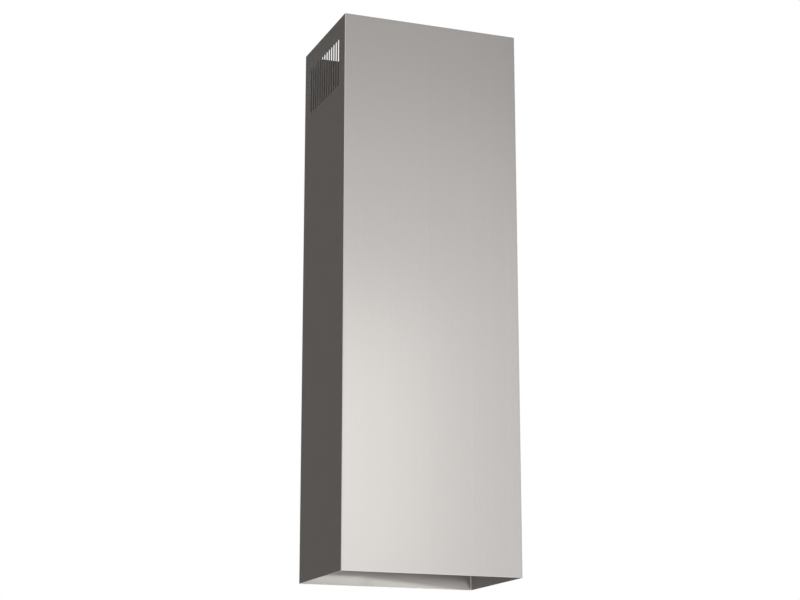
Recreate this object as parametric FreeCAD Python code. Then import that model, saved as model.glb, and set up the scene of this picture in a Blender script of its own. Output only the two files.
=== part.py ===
"""Chimney section of a cooker hood: a tall rectangular sleeve of thin stainless sheet, open at both ends.

One sheet is folded at three corners and welded shut along the back right corner. Each side wall has
a bank of upright vent slots near the top, and the back wall has two screw holes for a ceiling bracket.

Sizes are in millimetres. The origin is the middle of the bottom rim, +Z is up, the front faces -Y.
"""

import FreeCAD
import Part
import os

Vector = FreeCAD.Vector

# Sleeve, measured outside
height = 1000.0
width = 333.0
depth = 230.0
sheet = 0.8
bend_radius = 1.2  # inside the three folded corners

# Closing seam along the back right corner
weld_radius = 2.0  # hollow face of the bead inside the corner
groove_width = 0.4  # dressed line outside, where the sheet's two ends meet
groove_depth = 0.25

# Vent slots in the side walls
slot_width = 7.5
slot_length = 90.0
slot_pitch = 13.0
slot_drop = 37.0  # plain sheet above the slots
bank_margin = 30.0  # least plain sheet in front of and behind the bank

# Screw holes in the back wall
screw_hole = 5.0  # diameter
screw_spacing = 160.0
screw_drop = 15.0  # below the top rim

# How far a cutting tool stands clear of the sheet on each side
clear = 1.0


def upright_edge(block, x_side, y_side):
    """The vertical edge of a block at the corner on the given sides of the origin."""
    return next(
        edge
        for edge in block.Edges
        if edge.BoundBox.ZLength > edge.BoundBox.DiagonalLength / 2
        and edge.CenterOfMass.x * x_side > 0
        and edge.CenterOfMass.y * y_side > 0
    )


def folded_block(inset, z_low, z_high, folded_radius):
    """Block a sheet's inset inside the outer faces, round at the three folded corners."""
    size = Vector(width - 2 * inset, depth - 2 * inset, z_high - z_low)
    block = Part.makeBox(size.x, size.y, size.z, Vector(-size.x / 2, -size.y / 2, z_low))
    folded_corners = [(-1, -1), (1, -1), (-1, 1)]
    return block.makeFillet(folded_radius, [upright_edge(block, *corner) for corner in folded_corners])


def folded_sheet():
    """The sheet after folding and welding: outer form less the duct through it."""
    outside = folded_block(0, 0, height, bend_radius + sheet)
    duct = folded_block(sheet, -clear, height + clear, bend_radius)
    duct = duct.makeFillet(weld_radius, [upright_edge(duct, 1, 1)])
    return outside.cut(duct)


def seam_groove():
    """Shallow vee down the back wall, where its edge meets the inner face of the right wall."""
    seam_x = width / 2 - sheet
    back_y = depth / 2
    vee = Part.makePolygon(
        [
            Vector(seam_x - groove_width / 2, back_y, -clear),
            Vector(seam_x, back_y - groove_depth, -clear),
            Vector(seam_x + groove_width / 2, back_y, -clear),
            Vector(seam_x, back_y + groove_depth, -clear),
            Vector(seam_x - groove_width / 2, back_y, -clear),
        ]
    )
    return Part.Face(vee).extrude(Vector(0, 0, height + 2 * clear))


def vent_slot(x, y):
    """Tool for one upright slot with round ends, centred on y and passing through the wall at x."""
    radius = slot_width / 2
    low = height - slot_drop - slot_length + radius
    high = height - slot_drop - radius
    start = x - sheet / 2 - clear
    front_low, front_high = Vector(start, y - radius, low), Vector(start, y - radius, high)
    back_low, back_high = Vector(start, y + radius, low), Vector(start, y + radius, high)
    outline = Part.Wire(
        [
            Part.LineSegment(front_low, front_high).toShape(),
            Part.Arc(front_high, Vector(start, y, high + radius), back_high).toShape(),
            Part.LineSegment(back_high, back_low).toShape(),
            Part.Arc(back_low, Vector(start, y, low - radius), front_low).toShape(),
        ]
    )
    return Part.Face(outline).extrude(Vector(sheet + 2 * clear, 0, 0))


def vent_banks():
    """Tools for the slots of both side walls, as many as the wall has room for, centred on it."""
    count = int((depth - 2 * bank_margin - slot_width) // slot_pitch) + 1
    first_y = -slot_pitch * (count - 1) / 2
    wall_x = (width - sheet) / 2
    return [vent_slot(x, first_y + slot_pitch * i) for x in (-wall_x, wall_x) for i in range(count)]


def screw_holes():
    """Tools for the two holes through the back wall."""
    start_y = depth / 2 - sheet - clear
    length = sheet + 2 * clear
    z = height - screw_drop
    return [
        Part.makeCylinder(screw_hole / 2, length, Vector(x, start_y, z), Vector(0, 1, 0))
        for x in (-screw_spacing / 2, screw_spacing / 2)
    ]


def chimney_sleeve():
    """The finished sleeve, one solid."""
    tools = [seam_groove(), *vent_banks(), *screw_holes()]
    return folded_sheet().cut(tools).Solids[0]


os.makedirs("parts", exist_ok=True)
sleeve = chimney_sleeve()
sleeve.exportStep("parts/chimney_sleeve.step")
print("chimney_sleeve", "valid", sleeve.isValid(), "volume cm3", round(sleeve.Volume / 1000, 1))
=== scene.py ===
"""Looks of a cooker hood's chimney section: a brushed stainless sleeve hanging in a plain pale studio.

Everything is in metres, in the sleeve's own frame. The origin is the middle of the bottom rim, +Z is up
and the front faces -Y.
"""

import math

import bpy
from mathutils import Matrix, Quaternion, Vector


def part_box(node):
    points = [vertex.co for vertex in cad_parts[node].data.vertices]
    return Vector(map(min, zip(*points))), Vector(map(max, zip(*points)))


# The sleeve's sheet, as it was folded
SHEET = 0.0008
BEND_RADIUS = 0.002  # outside
WELD_RADIUS = 0.002

# How the faces of the sleeve are told apart
FACE_MARGIN = 0.00005  # how near a face lies to a wall's surface to count as part of it
RIM_UPRIGHT = 0.99  # least upright share of a rim's normal
CUT_LEAN = 0.01  # most that the normal inside a slot or hole leans out of its wall

# Camera, at the photograph's viewing angle, with angles in degrees
PICTURE_WIDTH = 800
SENSOR_WIDTH = 36.0
FOCAL_PIXELS = 1922
CAMERA_PLACE = (-1.2165, -3.168, -0.354)
CAMERA_TURN = -20.73
CAMERA_TILT = 14.27

# How brush lines are staggered, so that their ends make no rows
LINES_TOGETHER = 4.0  # lines that start at about the same height
LINE_STAGGER = 5.0  # line lengths over which the starts are spread

# Floor, low enough for the camera to look up at the sleeve
FLOOR_DROP = 1.5  # below the bottom rim
FLOOR_SIZE = 30.0
FADE_START = 2.5  # from the floor's middle
FADE_END = 7.0

# Strip lamps in a row, with one parallel beam that goes close under the rims into the sleeve
BEAM_AZIMUTH = 42.0  # where it comes from, in degrees to the right of the front's normal
BEAM_RISE = 0.0542  # climb per level metre
BEAM_SPREAD = 1.0  # degrees
STRIP_DISTANCE = 0.6  # from the sleeve's middle line
STRIP_LEFT = -0.25  # ends of the row, across the beam
STRIP_RIGHT = 0.23
STRIP_TALL = 0.05
STRIP_POWER = 0.0476  # watts per metre of the row
SIDE_CLEARANCE = 0.002  # of the beam under the right wall's rim

# Fill lamp under the front rim, turned to the foot of the back wall
FILL_PLACE = Vector((0.08, 0.015, -0.03))  # from the middle of the front rim
FILL_AIM = Vector((0.05, 0, 0.009))  # from the middle of the back rim

# Cards for reflections
CARD_ROW = -2.4  # where the cards in front of the sleeve stand, along Y
CARD_STEP = 0.01  # how much nearer a card stands than the one behind it
FLAG_SINK = 0.0005  # of the duct's flag below the top rim
FLAG_GAP = 0.0002  # round the duct's flag

# Directions that lamps, cards and floor face
TO_BACK = Vector((0, 1, 0))
TO_LEFT = Vector((-1, 0, 0))
UP = Vector((0, 0, 1))
DOWN = Vector((0, 0, -1))

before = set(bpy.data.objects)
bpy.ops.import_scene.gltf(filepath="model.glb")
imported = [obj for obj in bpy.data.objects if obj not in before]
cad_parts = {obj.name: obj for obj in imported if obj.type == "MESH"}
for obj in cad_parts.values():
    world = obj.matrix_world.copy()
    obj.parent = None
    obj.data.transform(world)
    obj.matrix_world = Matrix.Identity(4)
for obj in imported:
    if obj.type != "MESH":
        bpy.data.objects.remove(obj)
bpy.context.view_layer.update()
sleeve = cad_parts["chimney_sleeve"]
low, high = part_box("chimney_sleeve")
half_width, half_depth, height = high.x, high.y, high.z


class Wire:
    """The output of a shader node. Sums, products and quotients with wires and numbers add Math nodes."""

    def __init__(self, tree, socket):
        self.tree = tree
        self.socket = socket

    def maths(self, operation, first, second):
        return self.tree.add("ShaderNodeMath", {"operation": operation}, {0: first, 1: second})

    def __add__(self, other):
        return self.maths("ADD", self, other)

    __radd__ = __add__

    def __mul__(self, other):
        return self.maths("MULTIPLY", self, other)

    __rmul__ = __mul__

    def __truediv__(self, other):
        return self.maths("DIVIDE", self, other)

    def __rtruediv__(self, other):
        return self.maths("DIVIDE", other, self)

    def above(self, other):
        """The larger of the two."""
        return self.maths("MAXIMUM", self, other)


class Shader:
    """A material's or world's node tree, emptied and filled by code."""

    def __init__(self, owner):
        owner.use_nodes = True
        self.tree = owner.node_tree
        self.tree.nodes.clear()

    def add(self, kind, settings=None, inputs=None, output=0):
        """Adds one node: its settings first, then the values or wires of its sockets. Gives one output."""
        node = self.tree.nodes.new(kind)
        for name, value in (settings or {}).items():
            setattr(node, name, value)
        for name, value in (inputs or {}).items():
            if isinstance(value, Wire):
                self.tree.links.new(value.socket, node.inputs[name])
            else:
                node.inputs[name].default_value = value
        return Wire(self, node.outputs[output]) if len(node.outputs) else None

    def place(self):
        """Where the surface is, in metres in its own object's frame."""
        return self.add("ShaderNodeTexCoord", output="Object")

    def stretched(self, place, per_metre):
        """A place scaled along each axis, so that so many units of a pattern fill a metre."""
        return self.add("ShaderNodeVectorMath", {"operation": "MULTIPLY"}, {0: place, 1: per_metre})

    def noise(self, place, per_metre, detail, roughness=0.5):
        """Cloudy noise from 0 to 1, with its grain counted per metre along each axis."""
        stretched = self.stretched(place, per_metre)
        inputs = {"Vector": stretched, "Scale": 1.0, "Detail": detail, "Roughness": roughness}
        return self.add("ShaderNodeTexNoise", None, inputs)

    def brush_lines(self, place, across, along, detail):
        """Noise drawn out along the height, with its lines counted per metre across and along."""
        groups = across / LINES_TOGETHER
        stagger = self.noise(place, (groups, groups, 0.0), detail=1) * (LINE_STAGGER / along)
        lift = self.add("ShaderNodeCombineXYZ", None, {"Z": stagger})
        staggered = self.add("ShaderNodeVectorMath", {"operation": "ADD"}, {0: place, 1: lift})
        return self.noise(staggered, (across, across, along), detail)

    def blend(self, share, first, second):
        """Colour between two colours, which are the node's sockets 6 and 7."""
        inputs = {"Factor": share, 6: first, 7: second}
        return self.add("ShaderNodeMix", {"data_type": "RGBA"}, inputs, output=2)

    def bump(self, relief, metres):
        """A normal raised by a relief from 0 to 1 that stands for so many metres."""
        return self.add("ShaderNodeBump", None, {"Height": relief, "Distance": metres, "Strength": 1.0})

    def finish_steel(self, base, roughness, normal):
        """Ends the tree of a bare metal."""
        inputs = {"Base Color": base, "Metallic": 1.0, "Roughness": roughness, "Normal": normal}
        surface = self.add("ShaderNodeBsdfPrincipled", None, inputs)
        self.finish_surface(surface)

    def finish_surface(self, surface):
        self.add("ShaderNodeOutputMaterial", None, {"Surface": surface})


def colour(red, green, blue):
    return (red, green, blue, 1.0)


def grey(level):
    return colour(level, level, level)


def brushed_steel():
    """Outside of the sleeve: satin stainless, brushed along its height."""
    dark_line = colour(0.51, 0.489, 0.472)
    bright_line = colour(0.69, 0.662, 0.639)
    scratch_depth = 0.000004
    material = bpy.data.materials.new("brushed_steel")
    shader = Shader(material)
    place = shader.place()
    hairline = shader.brush_lines(place, across=5200, along=36, detail=3)
    streak = shader.brush_lines(place, across=420, along=0.8, detail=2)
    band = shader.brush_lines(place, across=75, along=0.4, detail=2)
    tone = hairline * 0.82 + streak * 0.1 + band * 0.08
    shader.finish_steel(
        base=shader.blend(tone, dark_line, bright_line),
        roughness=0.2 + hairline * 0.07 + streak * 0.03,
        normal=shader.bump(hairline * 0.7 + streak * 0.3, scratch_depth),
    )
    return material


def mill_steel():
    """Inside of the sleeve: the sheet as it was rolled, duller than the outside."""
    dull_patch = colour(0.475, 0.455, 0.437)
    clean_patch = colour(0.536, 0.513, 0.493)
    grain_depth = 0.000006
    material = bpy.data.materials.new("mill_steel")
    shader = Shader(material)
    place = shader.place()
    grain = shader.noise(place, per_metre=(900, 900, 160), detail=4, roughness=0.6)
    cloud = shader.noise(place, per_metre=(9, 9, 4), detail=3)
    shader.finish_steel(
        base=shader.blend(cloud, dull_patch, clean_patch),
        roughness=0.42 + grain * 0.06 + cloud * 0.04,
        normal=shader.bump(grain, grain_depth),
    )
    return material


def cut_edge():
    """Punched and sheared edges of the sheet: bare and bright."""
    torn_metal = colour(0.6, 0.59, 0.57)
    sheared_metal = colour(0.7, 0.69, 0.67)
    score_depth = 0.00002
    material = bpy.data.materials.new("cut_edge")
    shader = Shader(material)
    score = shader.noise(shader.place(), per_metre=(1500, 1500, 1500), detail=3)
    shader.finish_steel(
        base=shader.blend(score, torn_metal, sheared_metal),
        roughness=0.3 + score * 0.2,
        normal=shader.bump(score, score_depth),
    )
    return material


def weld_bead_painted_highlight():
    """The bead in the back right corner, with the ripples of the welding pass. Its light colour is a
    painted highlight along the inside corner.
    """
    # Painted highlight: these bead colours are far lighter than the sheet's and stand in for light along
    # the inside corner; the ripple between them is real.
    painted_highlight_ripple_foot = colour(0.78, 0.77, 0.75)
    painted_highlight_ripple_crest = colour(0.92, 0.91, 0.89)
    ripple_depth = 0.00005
    material = bpy.data.materials.new("weld_bead_painted_highlight")
    shader = Shader(material)
    inputs = {"Vector": shader.place(), "Scale": 260.0, "Distortion": 1.5, "Detail": 1.0}
    ripple = shader.add("ShaderNodeTexWave", {"bands_direction": "Z"}, inputs, output="Fac")
    shader.finish_steel(
        base=shader.blend(ripple, painted_highlight_ripple_foot, painted_highlight_ripple_crest),
        roughness=0.4 + ripple * 0.12,
        normal=shader.bump(ripple, ripple_depth),
    )
    return material


def finish_of(face):
    """Which finish a face of the sleeve has, from where it lies and which way it looks."""
    place, normal = face.center, face.normal
    from_side = half_width - abs(place.x)
    from_end = half_depth - abs(place.y)
    if abs(normal.z) > RIM_UPRIGHT:
        return "cut_edge"
    in_side_wall = FACE_MARGIN < from_side < SHEET - FACE_MARGIN and from_end > BEND_RADIUS
    in_back_wall = FACE_MARGIN < from_end < SHEET - FACE_MARGIN and from_side > BEND_RADIUS
    if (in_side_wall and abs(normal.x) < CUT_LEAN) or (in_back_wall and abs(normal.y) < CUT_LEAN):
        return "cut_edge"
    if normal.x * place.x + normal.y * place.y > 0:
        return "brushed_steel"
    # The inside back right corner gets the weld bead, whose light colour is a painted highlight.
    at_corner = max(from_side, from_end) < SHEET + WELD_RADIUS
    if at_corner and place.x > 0 and place.y > 0:
        return "weld_bead_painted_highlight"
    return "mill_steel"


def dress_sleeve():
    """Gives each face of the sleeve its finish."""
    finishes = [brushed_steel(), mill_steel(), cut_edge(), weld_bead_painted_highlight()]
    sleeve.data.materials.clear()
    for material in finishes:
        sleeve.data.materials.append(material)
    slots = {material.name: slot for slot, material in enumerate(finishes)}
    for face in sleeve.data.polygons:
        face.material_index = slots[finish_of(face)]


def add_camera():
    data = bpy.data.cameras.new("camera")
    data.sensor_width = SENSOR_WIDTH
    data.lens = FOCAL_PIXELS * SENSOR_WIDTH / PICTURE_WIDTH
    camera = bpy.data.objects.new("camera", data)
    bpy.context.scene.collection.objects.link(camera)
    camera.location = CAMERA_PLACE
    camera.rotation_euler = (math.radians(90 + CAMERA_TILT), 0.0, math.radians(CAMERA_TURN))
    bpy.context.scene.camera = camera


def add_plane(name, centre, facing, width, tall, material):
    """A flat stage sheet at a centre, turned to face a direction."""
    across, up = width / 2, tall / 2
    corners = [(-across, -up, 0), (across, -up, 0), (across, up, 0), (-across, up, 0)]
    mesh = bpy.data.meshes.new(name)
    mesh.from_pydata(corners, [], [(0, 1, 2, 3)])
    mesh.materials.append(material)
    plane = bpy.data.objects.new(name, mesh)
    bpy.context.scene.collection.objects.link(plane)
    plane.location = centre
    plane.rotation_euler = facing.to_track_quat("Z", "Y").to_euler()
    return plane


def seen_directly(shader):
    """1 for what the camera sees, by itself or in metal, and 0 for light on its way to other surfaces."""
    rays = ("Is Camera Ray", "Is Glossy Ray", "Is Transmission Ray")
    camera, glossy, clear = [shader.add("ShaderNodeLightPath", output=ray) for ray in rays]
    return camera.above(glossy).above(clear)


def add_floor():
    """Pale floor that keeps the sleeve's shadow and fades to white far away."""
    pale = colour(0.85, 0.85, 0.845)
    material = bpy.data.materials.new("pale_floor")
    shader = Shader(material)
    place = shader.place()
    distance = shader.add("ShaderNodeVectorMath", {"operation": "LENGTH"}, {0: place}, output="Value")
    reach = {"Value": distance, "From Min": FADE_START, "From Max": FADE_END}
    fade = shader.add("ShaderNodeMapRange", {"interpolation_type": "SMOOTHSTEP"}, reach)
    paint = shader.add("ShaderNodeBsdfDiffuse", None, {"Color": pale})
    white = shader.add("ShaderNodeEmission", None, {"Color": grey(1.0), "Strength": 1.0})
    surface = shader.add("ShaderNodeMixShader", None, {0: fade * seen_directly(shader), 1: paint, 2: white})
    shader.finish_surface(surface)
    add_plane("floor", (0, 0, low.z - FLOOR_DROP), UP, FLOOR_SIZE, FLOOR_SIZE, material)


def light_world():
    """An even white all round, at the level that shows a colour as it is written."""
    world = bpy.data.worlds.new("studio")
    bpy.context.scene.world = world
    shader = Shader(world)
    light = shader.add("ShaderNodeBackground", None, {"Color": grey(1.0), "Strength": 1.0})
    shader.add("ShaderNodeOutputWorld", None, {"Surface": light})


def add_lamp(name, centre, facing, width, tall, watts, spread, roll=0.0):
    """A rectangular lamp with a grid that narrows its spread, rolled about its beam, both in degrees."""
    data = bpy.data.lights.new(name, "AREA")
    data.shape = "RECTANGLE"
    data.size = width
    data.size_y = tall
    data.energy = watts
    data.spread = math.radians(spread)
    lamp = bpy.data.objects.new(name, data)
    bpy.context.scene.collection.objects.link(lamp)
    lamp.location = centre
    aim = facing.to_track_quat("-Z", "Y")
    lamp.rotation_euler = (aim @ Quaternion((0, 0, 1), math.radians(roll))).to_euler()
    lamp.visible_camera = False


def add_strips():
    """Two lamps side by side that light the foot of the back wall inside.

    The upper edge of each beam grazes one wall's bottom rim, so the wall's outside stays unlit.
    """
    angle = math.radians(BEAM_AZIMUTH)
    ahead = Vector((-math.sin(angle), math.cos(angle), 0))
    aside = Vector((math.cos(angle), math.sin(angle), 0))
    corner = Vector((half_width, -half_depth, 0)).dot(aside)
    strips = [
        # name, left end, right end, the wall's outward normal, its distance, clearance under its rim
        ("front_strip", STRIP_LEFT, corner, -TO_BACK, half_depth, 0.0),
        ("side_strip", corner, STRIP_RIGHT, -TO_LEFT, half_width, SIDE_CLEARANCE),
    ]
    for name, left, right, outward, wall, clearance in strips:
        middle = aside * ((left + right) / 2) - ahead * STRIP_DISTANCE
        approach = -outward.dot(ahead)  # towards the wall, per level metre of the beam
        way = (outward.dot(middle) - wall) / approach  # level length of the beam up to the wall
        edge_climb = -BEAM_RISE * outward.dot(aside) / approach  # slope of the upper edge
        middle.z = low.z - BEAM_RISE * way - clearance - STRIP_TALL / 2
        add_lamp(
            name,
            centre=middle,
            facing=ahead + UP * BEAM_RISE,
            width=right - left,
            tall=STRIP_TALL,
            watts=STRIP_POWER * (right - left),
            spread=BEAM_SPREAD,
            roll=math.degrees(math.atan(edge_climb)),
        )


def add_fill():
    """Lifts the shade on the foot of the back wall inside."""
    centre = Vector((0, -half_depth, low.z)) + FILL_PLACE
    lit_place = Vector((0, half_depth, low.z)) + FILL_AIM
    add_lamp("low_fill", centre, lit_place - centre, width=0.4, tall=0.01, watts=0.004, spread=9.0)


def add_card(name, centre, facing, width, tall, foot, head=None):
    """A studio card that only reflections see, in one colour or graded from its foot to its head."""
    material = bpy.data.materials.new(name)
    shader = Shader(material)
    paint = foot
    if head:
        level = shader.add("ShaderNodeSeparateXYZ", None, {"Vector": shader.place()}, output="Y")
        paint = shader.blend(level / tall + 0.5, foot, head)
    glow = shader.add("ShaderNodeEmission", None, {"Color": paint, "Strength": 1.0})
    shader.finish_surface(glow)
    material.cycles.emission_sampling = "NONE"
    card = add_plane(name, centre, facing, width, tall, material)
    for ray in ("camera", "diffuse", "transmission", "volume_scatter", "shadow"):
        setattr(card, f"visible_{ray}", False)


def add_left_card():
    """Gives the left wall its even dark tone."""
    dark = colour(0.134, 0.128, 0.122)
    facing = Vector((1.0, -1.4, 0))
    add_card("left_flag", centre=(-1.2, 1.4, 0.9), facing=facing, width=2.2, tall=3.2, foot=dark)


def add_front_cards():
    """Give the front a soft bright patch low down, and a darker head."""
    middle_row = CARD_ROW + CARD_STEP
    near_row = middle_row + CARD_STEP
    add_card(
        "front_softbox",
        centre=(0.21, near_row, 0.595),
        facing=TO_BACK,
        width=1.42,
        tall=0.96,
        foot=grey(1.4),
    )
    add_card(
        "lower_surround",
        centre=(1.0, CARD_ROW, 0.825),
        facing=TO_BACK,
        width=4.0,
        tall=1.75,
        foot=grey(0.86),
        head=grey(0.83),
    )
    add_card(
        "upper_surround",
        centre=(-0.25, CARD_ROW, 2.2),
        facing=TO_BACK,
        width=6.5,
        tall=1.0,
        foot=grey(0.6),
    )
    add_card(
        "corner_surround",
        centre=(2.275, middle_row, 2.075),
        facing=TO_BACK,
        width=1.85,
        tall=1.25,
        foot=grey(0.35),
    )


def add_right_card():
    """Shades the right wall from its foot to its head."""
    add_card(
        "right_surround",
        centre=(2.6, 1.3, 0.15),
        facing=TO_LEFT,
        width=4.4,
        tall=3.3,
        foot=grey(0.25),
        head=grey(0.85),
    )


def add_upper_cards():
    """Keep the inside dark behind the vents, and the ceiling dark above."""
    add_card(
        "duct_flag",
        centre=(0, 0, height - FLAG_SINK),
        facing=DOWN,
        width=2 * (half_width - SHEET - FLAG_GAP),
        tall=2 * (half_depth - SHEET - FLAG_GAP),
        foot=grey(0.1),
    )
    add_card("dark_ceiling", centre=(0, -0.3, 2.6), facing=DOWN, width=4.0, tall=4.4, foot=grey(0.04))


dress_sleeve()
add_camera()
add_floor()
light_world()
add_strips()
add_fill()
add_left_card()
add_front_cards()
add_right_card()
add_upper_cards()

bpy.context.scene.view_settings.view_transform = "Standard"
